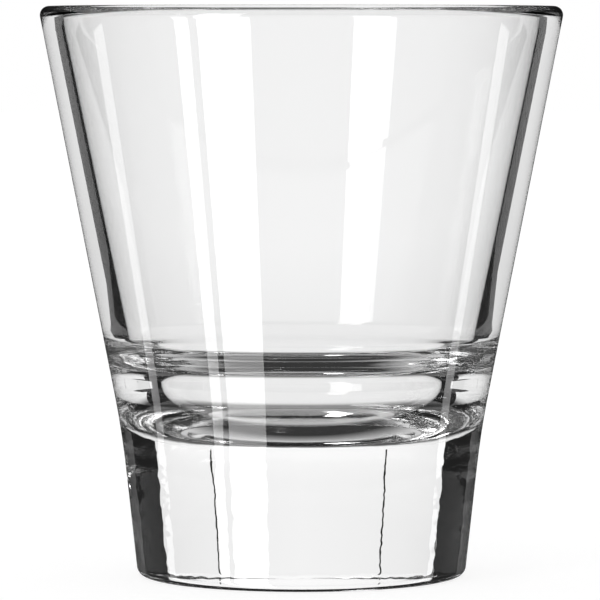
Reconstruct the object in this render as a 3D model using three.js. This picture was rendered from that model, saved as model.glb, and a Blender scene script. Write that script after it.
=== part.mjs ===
// Rocks glass: one piece of pressed soda-lime glass with a heavy solid base.
// Millimetres, +Z up. The origin is on the glass's axis, at the level that it stands on.
// The whole glass is one closed section turned round the axis.
import * as THREE from 'three';

// Outside: a steep foot, a soft knee and a flared bowl
const HEIGHT = 95;
const RIM_DIAMETER = 87.6;
const KNEE_HEIGHT = 24.1;
const KNEE_DIAMETER = 60;
const KNEE_ROUNDING = 150;
const FOOT_DIAMETER = 54.7;
const FOOT_EDGE_ROUNDING = 1.6;

// Underside: a flat ring that the glass stands on, round a shallow dome
const BEARING_WIDTH = 4.5;
const DOME_RISE = 1.4;

// Walls of the bowl, measured level across the glass
const RIM_WALL = 3.6;
const SHOULDER_WALL = 4.2;
const RIM_ROUNDING = 1.5;

// Inside: the bowl narrows over a rounded shoulder into a recess above the solid base
const BASE_THICKNESS = 23.7;
const RECESS_DEPTH = 12.7;
const RECESS_TAPER = 1.5;
const RECESS_FLOOR_FILLET = 10.8;
const SHOULDER_RISE = 2.5;
const SHOULDER_WIDTH = 4.9;
const SHOULDER_ROUNDING = 4.1;

// Fineness of the facets
const TURN_STEPS = 72;
const LEAST_ARC_STEPS = 3;
const ARC_STEP = THREE.MathUtils.degToRad(14);
const SAME_POINT = 0.001;

// Radii and heights that follow from those sizes
const rimRadius = RIM_DIAMETER / 2;
const kneeRadius = KNEE_DIAMETER / 2;
const footRadius = FOOT_DIAMETER / 2;
const domeRadius = footRadius - FOOT_EDGE_ROUNDING - BEARING_WIDTH;
const domeSphereRadius = (domeRadius ** 2 + DOME_RISE ** 2) / (2 * DOME_RISE);
const domeCornerRadius = domeSphereRadius * Math.tan(Math.asin(domeRadius / domeSphereRadius) / 2);
const recessTop = BASE_THICKNESS + RECESS_DEPTH;
const shoulderTop = recessTop + SHOULDER_RISE;
const shoulderRadius = flareRadius(shoulderTop) - SHOULDER_WALL;
const recessRadius = shoulderRadius - SHOULDER_WIDTH;

// Outer radius of the flared wall at a height above the knee
function flareRadius(height) {
  const share = (height - KNEE_HEIGHT) / (HEIGHT - KNEE_HEIGHT);
  return THREE.MathUtils.lerp(kneeRadius, rimRadius, share);
}

// One corner of the section, at a radius and a height, with the radius that rounds it
function corner(radius, height, rounding) {
  return { at: new THREE.Vector2(radius, height), rounding };
}

// Corners of the section, from the middle of the underside's dome, up the outside,
// over the rim and down the inside to the middle of the recess floor
function sectionCorners() {
  return [
    corner(0, DOME_RISE, 0),
    corner(domeCornerRadius, DOME_RISE, domeSphereRadius),
    corner(domeRadius, 0, 0),
    corner(footRadius, 0, FOOT_EDGE_ROUNDING),
    corner(kneeRadius, KNEE_HEIGHT, KNEE_ROUNDING),
    corner(rimRadius, HEIGHT, RIM_ROUNDING),
    corner(rimRadius - RIM_WALL, HEIGHT, RIM_ROUNDING),
    corner(shoulderRadius, shoulderTop, SHOULDER_ROUNDING),
    corner(recessRadius, recessTop, SHOULDER_ROUNDING),
    corner(recessRadius - RECESS_TAPER, BASE_THICKNESS, RECESS_FLOOR_FILLET),
    corner(0, BASE_THICKNESS, 0),
  ];
}

// Half of the angle between the two sides that meet at a corner
function halfAngle(corners, place) {
  const back = corners[place - 1].at.clone().sub(corners[place].at);
  const ahead = corners[place + 1].at.clone().sub(corners[place].at);
  return back.angleTo(ahead) / 2;
}

// How far a corner's rounding runs along each of its sides
function reach(corners, place) {
  const { rounding } = corners[place];
  return rounding === 0 ? 0 : rounding / Math.tan(halfAngle(corners, place));
}

// Share of a corner's rounding that both of its sides have room for, 1 at most
function roomShare(corners, place) {
  const shares = [place - 1, place + 1].map((next) => {
    const side = corners[place].at.distanceTo(corners[next].at);
    return side / (reach(corners, place) + reach(corners, next));
  });
  return Math.min(1, ...shares);
}

// Points along the arc that rounds a corner
function roundedCorner(corners, place) {
  const { at, rounding } = corners[place];
  if (rounding === 0) return [at];
  const radius = rounding * roomShare(corners, place);
  const half = halfAngle(corners, place);
  const back = corners[place - 1].at.clone().sub(at).normalize();
  const ahead = corners[place + 1].at.clone().sub(at).normalize();
  const middle = back.clone().add(ahead).normalize();
  const centre = at.clone().addScaledVector(middle, radius / Math.sin(half));
  const start = at.clone().addScaledVector(back, radius / Math.tan(half));
  const sweep = (Math.PI - 2 * half) * Math.sign(ahead.cross(back));
  const steps = Math.max(LEAST_ARC_STEPS, Math.ceil(Math.abs(sweep) / ARC_STEP));
  return Array.from({ length: steps + 1 }, (_, step) =>
    start.clone().rotateAround(centre, (sweep * step) / steps));
}

// The whole section, without the points that two neighbouring arcs share
function glassSection() {
  const corners = sectionCorners();
  const points = corners.flatMap((_, place) => roundedCorner(corners, place));
  return points.filter((point, place) => place === 0 || point.distanceTo(points[place - 1]) > SAME_POINT);
}

const clearGlass = new THREE.MeshStandardMaterial({
  name: 'clear_pressed_glass',
  color: 0xf4f7f6,
  roughness: 0.03,
  metalness: 0,
  transparent: true,
  opacity: 0.35,
});

const glassGeometry = new THREE.LatheGeometry(glassSection(), TURN_STEPS);
glassGeometry.rotateX(Math.PI / 2);

const glassBody = new THREE.Mesh(glassGeometry, clearGlass);
glassBody.name = 'glass_body';

const rocksGlass = new THREE.Group();
rocksGlass.add(glassBody);

export default rocksGlass;
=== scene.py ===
"""A rocks glass of clear pressed glass, in a bright-field studio.

Sizes are in millimetres and become metres where something is made. The glass is one
section turned round the Z axis, in the same frame as the CAD part: its foot stands on
Z = 0 and the photograph looks along +Y.
"""

import math

import bmesh
import bpy
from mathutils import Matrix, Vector


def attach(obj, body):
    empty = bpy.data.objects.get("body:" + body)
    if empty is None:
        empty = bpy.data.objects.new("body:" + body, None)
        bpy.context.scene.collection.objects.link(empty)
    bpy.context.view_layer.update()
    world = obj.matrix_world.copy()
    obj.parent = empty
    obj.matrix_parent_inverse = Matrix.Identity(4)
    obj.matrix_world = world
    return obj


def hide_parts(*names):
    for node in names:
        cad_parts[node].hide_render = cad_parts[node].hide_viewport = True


MM = 0.001

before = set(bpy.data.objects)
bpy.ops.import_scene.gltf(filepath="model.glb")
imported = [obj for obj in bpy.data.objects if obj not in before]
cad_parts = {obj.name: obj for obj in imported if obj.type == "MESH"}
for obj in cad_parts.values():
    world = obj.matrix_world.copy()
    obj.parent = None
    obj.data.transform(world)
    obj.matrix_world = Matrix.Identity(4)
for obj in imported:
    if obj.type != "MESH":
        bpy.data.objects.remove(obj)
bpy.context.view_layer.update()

# Outside of the glass: a steep foot, a soft knee and a flared bowl
HEIGHT = 95
RIM_DIAMETER = 87.6
KNEE_HEIGHT = 24.1
KNEE_DIAMETER = 60
KNEE_ROUNDING = 150
FOOT_DIAMETER = 54.7
FOOT_EDGE_ROUNDING = 1.6

# Underside: a flat ring that the glass stands on, round a shallow dome
BEARING_WIDTH = 4.5
DOME_RISE = 1.4

# Walls of the bowl, measured level across the glass
RIM_WALL = 3.6
SHOULDER_WALL = 4.2
RIM_ROUNDING = 1.5

# Inside: the bowl narrows over a rounded shoulder into a recess above the solid base
BASE_THICKNESS = 23.7
RECESS_DEPTH = 12.7
RECESS_TAPER = 1.5
RECESS_FLOOR_FILLET = 10.8
SHOULDER_RISE = 2.5
SHOULDER_WIDTH = 4.9
SHOULDER_ROUNDING = 4.1

# Clear soda-lime glass
GLASS_COLOUR = "#FEFEFE"
GLASS_IOR = 1.52

# Chill waves of the pressing on the foot, and the fine scuffs of the edge that it stands on
CHILL_WAVE = 2.4
CHILL_DEPTH = 0.03
CHILL_DETAIL = 1.0
CHILL_DETAIL_SHARE = 0.4
CHILL_HEIGHTS = (22, 27)
WORN_HEIGHT = 0.8
WORN_ROUGHNESS = 0.12

# Fineness of the glass's surface
TURN_STEPS = 320
ARC_STEPS = 20
RING_SPACING = 2.5
SAME_POINT = 0.001

# How often light may turn inside the thick base before it is given up
LIGHT_BOUNCES = 64

# Camera: where the photograph was taken from, and the point in the middle of its frame
CAMERA_PLACE = (0, -889.7, 100.3)
CAMERA_AIM = (-0.24, 0, 45.98)
CAMERA_LENS = 320.4
CAMERA_SENSOR = 36
CAMERA_NEAR = 10

# White sheets that stand behind the glass, with a narrow gap between neighbours
BACKDROP_DISTANCE = 233
BACKDROP_SPAN = (-174, 184)
BACKDROP_HEIGHT = 98
MIDDLE_SHEET_SPAN = (-67, 72)
SHEET_GAP = 1.8
SHEET_GAP_HEIGHT = 40
SHEET_BRIGHTNESS = 1.06
SHEET_FOOT_SHARE = 0.91
SHEET_FOOT_HEIGHT = 15
SHEET_END_SHARE = 0.9

# Table top between the glass and the backdrop
TABLE_WIDTH = 330
TABLE_FRONT = 60

# How bright the table looks in the glass, by millimetres behind the glass's axis: painted light
# and shade, dark in front of the foot and round its back edge, lit under its middle and brighter
# further behind
TABLE_BRIGHTNESS = {
    -12: 0.04, -4: 0.3, 6: 0.65, 16: 0.65, 24: 0.1, 40: 0.12, 52: 0.6, 66: 0.95, 150: 0.97}

# Painted pool of light on the table for light that has turned inside the glass, and the painted
# dark beside it
LIT_SPREAD = 1.2
LIT_RADIUS = 175
LIT_WIDTH = 240
TABLE_DARK = 0.014

# Painted shadow round the foot for light straight through the glass, and the white beside it
SHADE_SHARE = 0.8
SHADE_FADE = (34, 64)
TABLE_WHITE = 1.0

# Brightness of the room between the cards, and the width of a card's soft edge in degrees
DARK_ROOM = 0.014
CARD_EDGE = 0.5

# Cards for turned light: degrees right of straight behind the glass, degrees up, brightness
ROOM_CARDS = [
    ("low background", (-51, 51), (-7, -2.5), 0.8),
    ("background behind the gaps", (-25, 25), (-12, -2.5), 1.0),
    ("left wall", (-100, -64), (-20, 30), 0.12),
    ("right wall", (64, 100), (-20, 30), 0.12),
    ("left front", (-181, -100), (14, 26), 0.4),
    ("right front", (100, 181), (14, 26), 0.4),
    ("left softbox", (-152.5, -132), (12, 60), 5),
]

# Cards that stand in front of those, for light straight through the glass
CLEAR_CARDS = [
    ("white room, left", (-181, -84), (-90, 35), 1.0),
    ("white room, right", (84, 181), (-90, 35), 1.0),
    ("white floor", (-181, 181), (-90, -4), 1.0),
]

# Cards that the glass's outer faces mirror
MIRROR_CARDS = [
    ("left softbox, low half", (-157, -132), (-60, 0), 5),
    ("left softbox, high half", (-152.5, -132), (0, 40), 5),
    ("left strip light", (-128, -121), (-60, 0), 5),
    ("left side light", (-80, -73), (-60, -13.35), 2.4),
    ("right side light", (73, 80), (-60, -13.35), 2.4),
]

# Soft light from all round, for the floor
SOFT_LIGHT = 0.8

# Floor: a round pale sheet, and the share of its white that goes straight to the camera
FLOOR_RADIUS = 3000
FLOOR_DROP = 0.05
FLOOR_STEPS = 96
FLOOR_GLOW = 0.82
FLOOR_COLOUR = "#898989"


def linear(hex_colour):
    """An sRGB hex colour as the linear RGBA that a shader takes."""
    shares = [int(hex_colour[start:start + 2], 16) / 255 for start in (1, 3, 5)]
    return [s / 12.92 if s <= 0.04045 else ((s + 0.055) / 1.055) ** 2.4 for s in shares] + [1]


def add(tree, kind, inputs=None, **settings):
    """Add a node with its settings. Each input is a value, or the socket that feeds it."""
    node = tree.nodes.new(kind)
    for name, value in settings.items():
        setattr(node, name, value)
    for name, value in (inputs or {}).items():
        if isinstance(value, bpy.types.NodeSocket):
            tree.links.new(value, node.inputs[name])
        else:
            node.inputs[name].default_value = value
    return node


def blank_material(name):
    """A new material with an empty node tree."""
    material = bpy.data.materials.new(name)
    material.use_nodes = True
    material.node_tree.nodes.clear()
    return material


def section_corners():
    """Corners of the glass's section from the underside, up the outside, over the rim and
    down to the recess floor: name, then radius, height and rounding in millimetres."""
    foot = FOOT_DIAMETER / 2
    knee = KNEE_DIAMETER / 2
    rim = RIM_DIAMETER / 2
    dome = foot - FOOT_EDGE_ROUNDING - BEARING_WIDTH
    dome_sphere = (dome ** 2 + DOME_RISE ** 2) / (2 * DOME_RISE)
    dome_corner = dome_sphere * math.tan(math.asin(dome / dome_sphere) / 2)
    recess_top = BASE_THICKNESS + RECESS_DEPTH
    shoulder_top = recess_top + SHOULDER_RISE
    flare = (rim - knee) / (HEIGHT - KNEE_HEIGHT)
    shoulder = knee + flare * (shoulder_top - KNEE_HEIGHT) - SHOULDER_WALL
    recess = shoulder - SHOULDER_WIDTH
    return {
        "Dome middle": (0, DOME_RISE, 0),
        "Dome": (dome_corner, DOME_RISE, dome_sphere),
        "Bearing ring": (dome, 0, 0),
        "Foot edge": (foot, 0, FOOT_EDGE_ROUNDING),
        "Knee": (knee, KNEE_HEIGHT, KNEE_ROUNDING),
        "Rim outside": (rim, HEIGHT, RIM_ROUNDING),
        "Rim inside": (rim - RIM_WALL, HEIGHT, RIM_ROUNDING),
        "Shoulder": (shoulder, shoulder_top, SHOULDER_ROUNDING),
        "Recess mouth": (recess, recess_top, SHOULDER_ROUNDING),
        "Recess floor": (recess - RECESS_TAPER, BASE_THICKNESS, RECESS_FLOOR_FILLET),
        "Recess middle": (0, BASE_THICKNESS, 0),
    }


def turned_section_tree(corner_names):
    """A Geometry Nodes tree that rounds a section's corners and turns it round the Z axis.
    Each corner is a vector input: its radius, its height and its rounding, in metres."""
    tree = bpy.data.node_groups.new("turned section", "GeometryNodeTree")
    sockets = {name: "NodeSocketVector" for name in corner_names}
    sockets |= {"Turn steps": "NodeSocketInt", "Arc steps": "NodeSocketInt"}
    sockets |= {"Ring spacing": "NodeSocketFloat", "Material": "NodeSocketMaterial"}
    for name, kind in sockets.items():
        tree.interface.new_socket(name, in_out="INPUT", socket_type=kind)
    tree.interface.new_socket("Glass", in_out="OUTPUT", socket_type="NodeSocketGeometry")
    given = add(tree, "NodeGroupInput").outputs
    index = add(tree, "GeometryNodeInputIndex").outputs[0]
    position = add(tree, "GeometryNodeInputPosition").outputs[0]

    # The corners as a line of points, each picked by its index
    pick = add(tree, "GeometryNodeIndexSwitch", {"Index": index}, data_type="VECTOR")
    while len(pick.index_switch_items) < len(corner_names):
        pick.index_switch_items.new()
    for order, name in enumerate(corner_names):
        tree.links.new(given[name], pick.inputs[str(order)])
    corner = add(tree, "ShaderNodeSeparateXYZ", {0: pick.outputs[0]}).outputs
    line = add(tree, "GeometryNodeMeshLine", {"Count": len(corner_names)})
    place = add(tree, "ShaderNodeCombineXYZ", {"X": corner["X"], "Z": corner["Y"]})
    corners = add(tree, "GeometryNodeSetPosition", {
        "Geometry": line.outputs[0], "Position": place.outputs[0]})
    outline = add(tree, "GeometryNodeMeshToCurve", {"Mesh": corners.outputs[0]})

    # Arcs at the corners, and rings along the straight sides so that they shade straight
    rounded = add(tree, "GeometryNodeFilletCurve", {
        "Curve": outline.outputs[0], "Count": given["Arc steps"],
        "Radius": corner["Z"], "Limit Radius": True}, mode="POLY")
    after = add(tree, "ShaderNodeMath", {0: index, 1: 1.0}, operation="ADD")
    next_point = add(tree, "GeometryNodeFieldAtIndex", {
        "Index": after.outputs[0], "Value": position}, data_type="FLOAT_VECTOR")
    side = add(tree, "ShaderNodeVectorMath", {
        0: position, 1: next_point.outputs[0]}, operation="DISTANCE")
    cuts = add(tree, "ShaderNodeMath", {
        0: side.outputs["Value"], 1: given["Ring spacing"]}, operation="DIVIDE")
    section = add(tree, "GeometryNodeSubdivideCurve", {
        "Curve": rounded.outputs[0], "Cuts": cuts.outputs[0]})

    # A grid with a column for each step of the turn, rolled round the axis
    points = add(tree, "GeometryNodeAttributeDomainSize", {
        0: section.outputs[0]}, component="CURVE")
    rows = points.outputs["Point Count"]
    columns = add(tree, "ShaderNodeMath", {0: given["Turn steps"], 1: 1.0}, operation="ADD")
    grid = add(tree, "GeometryNodeMeshGrid", {
        "Vertices X": columns.outputs[0], "Vertices Y": rows})
    row = add(tree, "ShaderNodeMath", {0: index, 1: rows}, operation="MODULO")
    share = add(tree, "ShaderNodeMath", {0: index, 1: rows}, operation="DIVIDE")
    column = add(tree, "ShaderNodeMath", {0: share.outputs[0]}, operation="FLOOR")
    step = add(tree, "ShaderNodeMath", {0: math.tau, 1: given["Turn steps"]}, operation="DIVIDE")
    angle = add(tree, "ShaderNodeMath", {
        0: column.outputs[0], 1: step.outputs[0]}, operation="MULTIPLY")
    sample = add(tree, "GeometryNodeSampleIndex", {
        "Geometry": section.outputs[0], "Value": position,
        "Index": row.outputs[0]}, data_type="FLOAT_VECTOR")
    turned = add(tree, "ShaderNodeVectorRotate", {
        "Vector": sample.outputs[0], "Angle": angle.outputs[0]}, rotation_type="Z_AXIS")
    rolled = add(tree, "GeometryNodeSetPosition", {
        "Geometry": grid.outputs[0], "Position": turned.outputs[0]})
    closed = add(tree, "GeometryNodeMergeByDistance", {
        "Geometry": rolled.outputs[0], "Distance": SAME_POINT * MM})
    smooth = add(tree, "GeometryNodeSetShadeSmooth", {"Geometry": closed.outputs[0]})
    real = add(tree, "GeometryNodeRealizeInstances", {"Geometry": smooth.outputs[0]})
    finished = add(tree, "GeometryNodeSetMaterial", {
        "Geometry": real.outputs[0], "Material": given["Material"]})
    add(tree, "NodeGroupOutput", {"Glass": finished.outputs[0]})
    return tree


def pressed_clear_glass():
    """Soda-lime glass, pressed and fire-polished: clear and sharp, with faint chill waves
    on the thick foot that make what shows through it waver, and fine scuffs that dull the
    edge that it stands on."""
    material = blank_material("pressed_clear_glass")
    tree = material.node_tree
    place = add(tree, "ShaderNodeTexCoord").outputs["Object"]
    height = add(tree, "ShaderNodeSeparateXYZ", {0: place}).outputs["Z"]
    waves = add(tree, "ShaderNodeTexNoise", {
        "Vector": place, "Scale": 1 / (CHILL_WAVE * MM),
        "Detail": CHILL_DETAIL, "Roughness": CHILL_DETAIL_SHARE})
    chilled = add(tree, "ShaderNodeMapRange", {
        "Value": height, "From Min": CHILL_HEIGHTS[0] * MM, "From Max": CHILL_HEIGHTS[1] * MM,
        "To Min": 1.0, "To Max": 0.0}, interpolation_type="SMOOTHSTEP")
    bump = add(tree, "ShaderNodeBump", {
        "Strength": chilled.outputs[0], "Distance": CHILL_DEPTH * MM, "Height": waves.outputs[0]})
    worn = add(tree, "ShaderNodeMapRange", {
        "Value": height, "From Min": 0.0, "From Max": WORN_HEIGHT * MM,
        "To Min": WORN_ROUGHNESS, "To Max": 0.0}, interpolation_type="SMOOTHSTEP")
    glass = add(tree, "ShaderNodeBsdfPrincipled", {
        "Base Color": linear(GLASS_COLOUR), "Roughness": worn.outputs[0], "IOR": GLASS_IOR,
        "Transmission Weight": 1.0, "Normal": bump.outputs[0]})
    add(tree, "ShaderNodeOutputMaterial", {"Surface": glass.outputs[0]})
    return material


def make_glass():
    """The glass, turned by its tree and made a plain mesh."""
    corners = section_corners()
    tree = turned_section_tree(list(corners))
    glass = bpy.data.objects.new("turning glass", bpy.data.meshes.new("turning glass"))
    bpy.context.collection.objects.link(glass)
    turning = glass.modifiers.new("turned section", "NODES")
    turning.node_group = tree
    values = {name: [size * MM for size in corner] for name, corner in corners.items()}
    values |= {"Turn steps": TURN_STEPS, "Arc steps": ARC_STEPS}
    values |= {"Ring spacing": RING_SPACING * MM, "Material": pressed_clear_glass()}
    for socket in tree.interface.items_tree:
        if socket.in_out == "INPUT":
            turning[socket.identifier] = values[socket.name]
    evaluated = glass.evaluated_get(bpy.context.evaluated_depsgraph_get())
    mesh = bpy.data.meshes.new_from_object(evaluated)
    bpy.data.objects.remove(glass)
    shell = bmesh.new()
    shell.from_mesh(mesh)
    bmesh.ops.recalc_face_normals(shell, faces=shell.faces)
    shell.to_mesh(mesh)
    shell.free()
    piece = bpy.data.objects.new("rocks_glass", mesh)
    bpy.context.collection.objects.link(piece)
    return piece


def pale_floor_paper():
    """Matt white paper. Part of its white goes straight to the camera, so that it reads as
    white without more light on the glass, and the rest keeps the glass's shadow."""
    material = blank_material("pale_floor_paper")
    tree = material.node_tree
    ray = add(tree, "ShaderNodeLightPath").outputs
    glow = add(tree, "ShaderNodeMath", {
        0: ray["Is Camera Ray"], 1: FLOOR_GLOW}, operation="MULTIPLY")
    white = add(tree, "ShaderNodeEmission", {"Strength": glow.outputs[0]})
    matt = add(tree, "ShaderNodeBsdfDiffuse", {"Color": linear(FLOOR_COLOUR)})
    paper = add(tree, "ShaderNodeAddShader", {0: white.outputs[0], 1: matt.outputs[0]})
    add(tree, "ShaderNodeOutputMaterial", {"Surface": paper.outputs[0]})
    return material


def has_turned(tree):
    """1 for light that was thrown back inside the glass at least once, 0 for light that
    came straight through it."""
    turns = add(tree, "ShaderNodeLightPath").outputs["Glossy Depth"]
    return add(tree, "ShaderNodeMath", {0: turns, 1: 0.5}, operation="GREATER_THAN").outputs[0]


def table_ramp(tree, behind):
    """Painted light and shade of the table, by the distance behind the glass's axis."""
    near, far = min(TABLE_BRIGHTNESS), max(TABLE_BRIGHTNESS)
    share = add(tree, "ShaderNodeMapRange", {
        "Value": behind, "From Min": near * MM, "From Max": far * MM})
    ramp = add(tree, "ShaderNodeValToRGB", {"Fac": share.outputs[0]})
    stops = ramp.color_ramp.elements
    while len(stops) < len(TABLE_BRIGHTNESS):
        stops.new(1)
    for stop, (distance, brightness) in zip(stops, TABLE_BRIGHTNESS.items()):
        stop.position = (distance - near) / (far - near)
        stop.color = [brightness] * 3 + [1]
    return ramp.outputs["Color"]


def lit_part(tree, place, across, behind):
    """1 on the table's painted lit part, which widens behind the foot into a round pool of painted
    light, with a strip from there to the backdrop."""
    aside = add(tree, "ShaderNodeMath", {0: across}, operation="ABSOLUTE").outputs[0]
    spread = add(tree, "ShaderNodeMath", {0: behind, 1: LIT_SPREAD}, operation="MULTIPLY")
    widest = add(tree, "ShaderNodeMath", {
        0: spread.outputs[0], 1: FOOT_DIAMETER / 2 * MM}, operation="MAXIMUM")
    within = add(tree, "ShaderNodeMath", {0: aside, 1: widest.outputs[0]}, operation="LESS_THAN")
    distance = add(tree, "ShaderNodeVectorMath", {0: place}, operation="LENGTH")
    near = add(tree, "ShaderNodeMath", {
        0: distance.outputs["Value"], 1: LIT_RADIUS * MM}, operation="LESS_THAN")
    middle = add(tree, "ShaderNodeMath", {0: aside, 1: LIT_WIDTH / 2 * MM}, operation="LESS_THAN")
    pool = add(tree, "ShaderNodeMath", {
        0: near.outputs[0], 1: middle.outputs[0]}, operation="MAXIMUM")
    lit = add(tree, "ShaderNodeMath", {
        0: within.outputs[0], 1: pool.outputs[0]}, operation="MULTIPLY")
    return lit.outputs[0]


def shaded_part(tree, across, behind):
    """1 under the foot and in front of it, fading to 0 over the table beside and behind it: where
    the foot's painted shadow lies.
    """
    back = add(tree, "ShaderNodeMath", {0: behind, 1: 0.0}, operation="MAXIMUM")
    spot = add(tree, "ShaderNodeCombineXYZ", {"X": across, "Y": back.outputs[0]})
    length = add(tree, "ShaderNodeVectorMath", {0: spot.outputs[0]}, operation="LENGTH")
    reach = length.outputs["Value"]
    under = add(tree, "ShaderNodeMath", {
        0: reach, 1: FOOT_DIAMETER / 2 * MM}, operation="LESS_THAN")
    fade = add(tree, "ShaderNodeMapRange", {
        "Value": reach, "From Min": SHADE_FADE[0] * MM, "From Max": SHADE_FADE[1] * MM,
        "To Min": SHADE_SHARE, "To Max": 0.0}, interpolation_type="SMOOTHSTEP")
    shade = add(tree, "ShaderNodeMath", {
        0: under.outputs[0], 1: fade.outputs[0]}, operation="MAXIMUM")
    return shade.outputs[0]


def table_painted_light_and_shade():
    """White board, seen only in the glass, glowing with painted light and shade. Light that has
    turned inside the glass shows its painted pool of light, with painted dark beside it. Light
    straight through the glass shows the foot's painted shadow, with white beside it."""
    material = blank_material("table_painted_light_and_shade")
    tree = material.node_tree
    place = add(tree, "ShaderNodeTexCoord").outputs["Object"]
    axes = add(tree, "ShaderNodeSeparateXYZ", {0: place}).outputs
    turned = has_turned(tree)
    shaded = shaded_part(tree, axes["X"], axes["Y"])
    lit = lit_part(tree, place, axes["X"], axes["Y"])
    share = add(tree, "ShaderNodeMix", {"Factor": turned, "A": shaded, "B": lit})
    beside = add(tree, "ShaderNodeMix", {"Factor": turned, "A": TABLE_WHITE, "B": TABLE_DARK})
    table = add(tree, "ShaderNodeMix", {
        "Factor": share.outputs[0], "A": beside.outputs[0], "B": table_ramp(tree, axes["Y"])})
    white = add(tree, "ShaderNodeEmission", {"Strength": table.outputs[0]})
    add(tree, "ShaderNodeOutputMaterial", {"Surface": white.outputs[0]})
    return material


def hide_from(sheet, rays):
    """Take a sheet out of the sight of some kinds of ray."""
    for ray in rays:
        setattr(sheet, "visible_" + ray, False)


def make_floor():
    """A round sheet under the glass."""
    mesh = bpy.data.meshes.new("floor")
    disc = bmesh.new()
    bmesh.ops.create_circle(disc, cap_ends=True, segments=FLOOR_STEPS, radius=FLOOR_RADIUS * MM)
    disc.to_mesh(mesh)
    disc.free()
    mesh.materials.append(pale_floor_paper())
    floor = bpy.data.objects.new("floor", mesh)
    floor.location.z = -FLOOR_DROP * MM
    hide_from(floor, ["glossy", "transmission"])
    bpy.context.collection.objects.link(floor)
    return floor


def make_sheets(name, corners, material):
    """Flat four-cornered sheets that show only in the glass."""
    mesh = bpy.data.meshes.new(name)
    places = [Vector(corner) * MM for corner in corners]
    mesh.from_pydata(places, [], [range(first, first + 4) for first in range(0, len(places), 4)])
    mesh.materials.append(material)
    sheets = bpy.data.objects.new(name, mesh)
    hide_from(sheets, ["camera", "diffuse", "shadow", "glossy"])
    bpy.context.collection.objects.link(sheets)
    return sheets


def make_table():
    """The table top between the glass and the backdrop, glowing with painted light and shade."""
    right, back = TABLE_WIDTH / 2, BACKDROP_DISTANCE
    spots = [(-right, -TABLE_FRONT), (right, -TABLE_FRONT), (right, back), (-right, back)]
    return make_sheets("table", [(*spot, -FLOOR_DROP) for spot in spots], table_painted_light_and_shade())


def backlit_white_acrylic():
    """Translucent white acrylic, lit from behind: white, a little darker to its ends and foot."""
    material = blank_material("backlit_white_acrylic")
    tree = material.node_tree
    place = add(tree, "ShaderNodeTexCoord").outputs["Object"]
    axes = add(tree, "ShaderNodeSeparateXYZ", {0: place}).outputs
    aside = add(tree, "ShaderNodeMath", {0: axes["X"]}, operation="ABSOLUTE")
    across = add(tree, "ShaderNodeMapRange", {
        "Value": aside.outputs[0], "From Max": max(BACKDROP_SPAN) * MM,
        "To Min": SHEET_BRIGHTNESS, "To Max": SHEET_BRIGHTNESS * SHEET_END_SHARE})
    up = add(tree, "ShaderNodeMapRange", {
        "Value": axes["Z"], "From Min": SHEET_FOOT_HEIGHT * MM, "From Max": SHEET_GAP_HEIGHT * MM,
        "To Min": SHEET_FOOT_SHARE})
    strength = add(tree, "ShaderNodeMath", {
        0: across.outputs[0], 1: up.outputs[0]}, operation="MULTIPLY")
    white = add(tree, "ShaderNodeEmission", {"Strength": strength.outputs[0]})
    add(tree, "ShaderNodeOutputMaterial", {"Surface": white.outputs[0]})
    return material


def make_backdrop():
    """Upright white sheets behind the glass."""
    left_end, right_end = BACKDROP_SPAN
    left_gap, right_gap = MIDDLE_SHEET_SPAN
    spans = [
        (left_end, left_gap - SHEET_GAP), MIDDLE_SHEET_SPAN, (right_gap + SHEET_GAP, right_end)]
    sheets = [(*span, -FLOOR_DROP, SHEET_GAP_HEIGHT) for span in spans]
    sheets.append((*BACKDROP_SPAN, SHEET_GAP_HEIGHT, BACKDROP_HEIGHT))
    corners = []
    for left, right, bottom, top in sheets:
        corners += [(left, bottom), (right, bottom), (right, top), (left, top)]
    places = [(across, BACKDROP_DISTANCE, up) for across, up in corners]
    return make_sheets("backdrop", places, backlit_white_acrylic())


def card_share(tree, angle, span):
    """1 where an angle lies inside a card's span, 0 outside, with a soft edge."""
    ramps = [add(tree, "ShaderNodeMapRange", {
        "Value": angle, "From Min": edge - CARD_EDGE / 2, "From Max": edge + CARD_EDGE / 2},
        interpolation_type="SMOOTHSTEP").outputs[0] for edge in span]
    return add(tree, "ShaderNodeMath", {0: ramps[0], 1: ramps[1]}, operation="SUBTRACT").outputs[0]


def hang_cards(tree, azimuth, elevation, room, cards):
    """The brightness of a room with cards in it, by direction. A later card stands in front
    of an earlier one."""
    bright = room
    for name, across, up, brightness in cards:
        sides = card_share(tree, azimuth, across)
        ends = card_share(tree, elevation, up)
        share = add(tree, "ShaderNodeMath", {0: sides, 1: ends}, operation="MULTIPLY")
        bright = add(tree, "ShaderNodeMix", {
            "Factor": share.outputs[0], "A": bright, "B": brightness}, label=name).outputs[0]
    return bright


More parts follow.
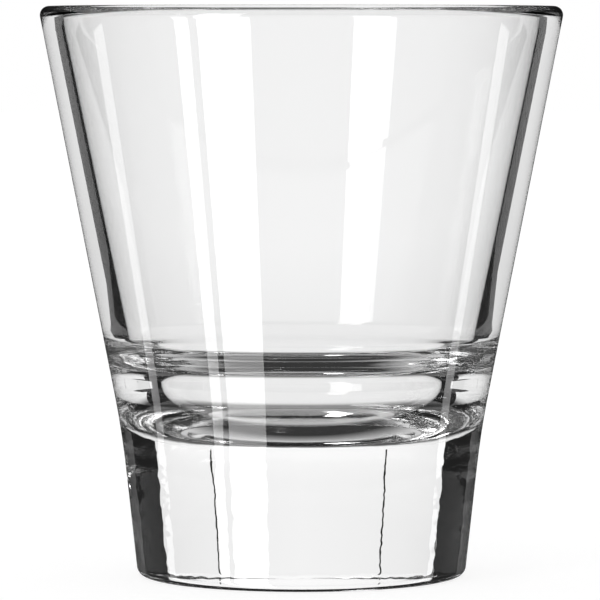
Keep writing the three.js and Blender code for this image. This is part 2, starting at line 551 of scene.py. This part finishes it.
def light_studio():
    """White all round for the camera, soft light for the floor, and cards for the glass.
    Light straight through the glass finds a whiter room than light that has turned in it."""
    world = bpy.data.worlds.new("studio")
    bpy.context.scene.world = world
    world.use_nodes = True
    tree = world.node_tree
    tree.nodes.clear()
    direction = add(tree, "ShaderNodeTexCoord").outputs["Generated"]
    axes = add(tree, "ShaderNodeSeparateXYZ", {0: direction}).outputs
    turn = add(tree, "ShaderNodeMath", {0: axes["X"], 1: axes["Y"]}, operation="ARCTAN2")
    azimuth = add(tree, "ShaderNodeMath", {0: turn.outputs[0]}, operation="DEGREES").outputs[0]
    rise = add(tree, "ShaderNodeMath", {0: axes["Z"]}, operation="ARCSINE")
    elevation = add(tree, "ShaderNodeMath", {0: rise.outputs[0]}, operation="DEGREES").outputs[0]
    ray = add(tree, "ShaderNodeLightPath").outputs
    shown = hang_cards(tree, azimuth, elevation, DARK_ROOM, MIRROR_CARDS)
    room = hang_cards(tree, azimuth, elevation, DARK_ROOM, ROOM_CARDS)
    clear = hang_cards(tree, azimuth, elevation, room, CLEAR_CARDS)
    through = add(tree, "ShaderNodeMix", {
        "Factor": has_turned(tree), "A": clear, "B": room}).outputs[0]
    sights = {"Is Transmission Ray": through, "Is Diffuse Ray": SOFT_LIGHT, "Is Camera Ray": 1.0}
    for kind, brightness in sights.items():
        shown = add(tree, "ShaderNodeMix", {
            "Factor": ray[kind], "A": shown, "B": brightness}).outputs[0]
    light = add(tree, "ShaderNodeBackground", {"Color": linear("#FFFFFF"), "Strength": shown})
    add(tree, "ShaderNodeOutputWorld", {"Surface": light.outputs[0]})


def set_camera():
    """The photograph's camera."""
    camera = bpy.data.cameras.new("camera")
    camera.lens = CAMERA_LENS
    camera.sensor_width = CAMERA_SENSOR
    camera.clip_start = CAMERA_NEAR * MM
    viewer = bpy.data.objects.new("camera", camera)
    viewer.location = Vector(CAMERA_PLACE) * MM
    aim = Vector(CAMERA_AIM) * MM - viewer.location
    viewer.rotation_euler = aim.to_track_quat("-Z", "Y").to_euler()
    bpy.context.collection.objects.link(viewer)
    bpy.context.scene.camera = viewer


bpy.context.scene.view_settings.view_transform = "Standard"
for limit in ("max_bounces", "glossy_bounces", "transmission_bounces"):
    setattr(bpy.context.scene.cycles, limit, LIGHT_BOUNCES)

glass = make_glass()
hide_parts("glass_body")
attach(glass, "root")
make_floor()
make_table()
make_backdrop()
light_studio()
set_camera()
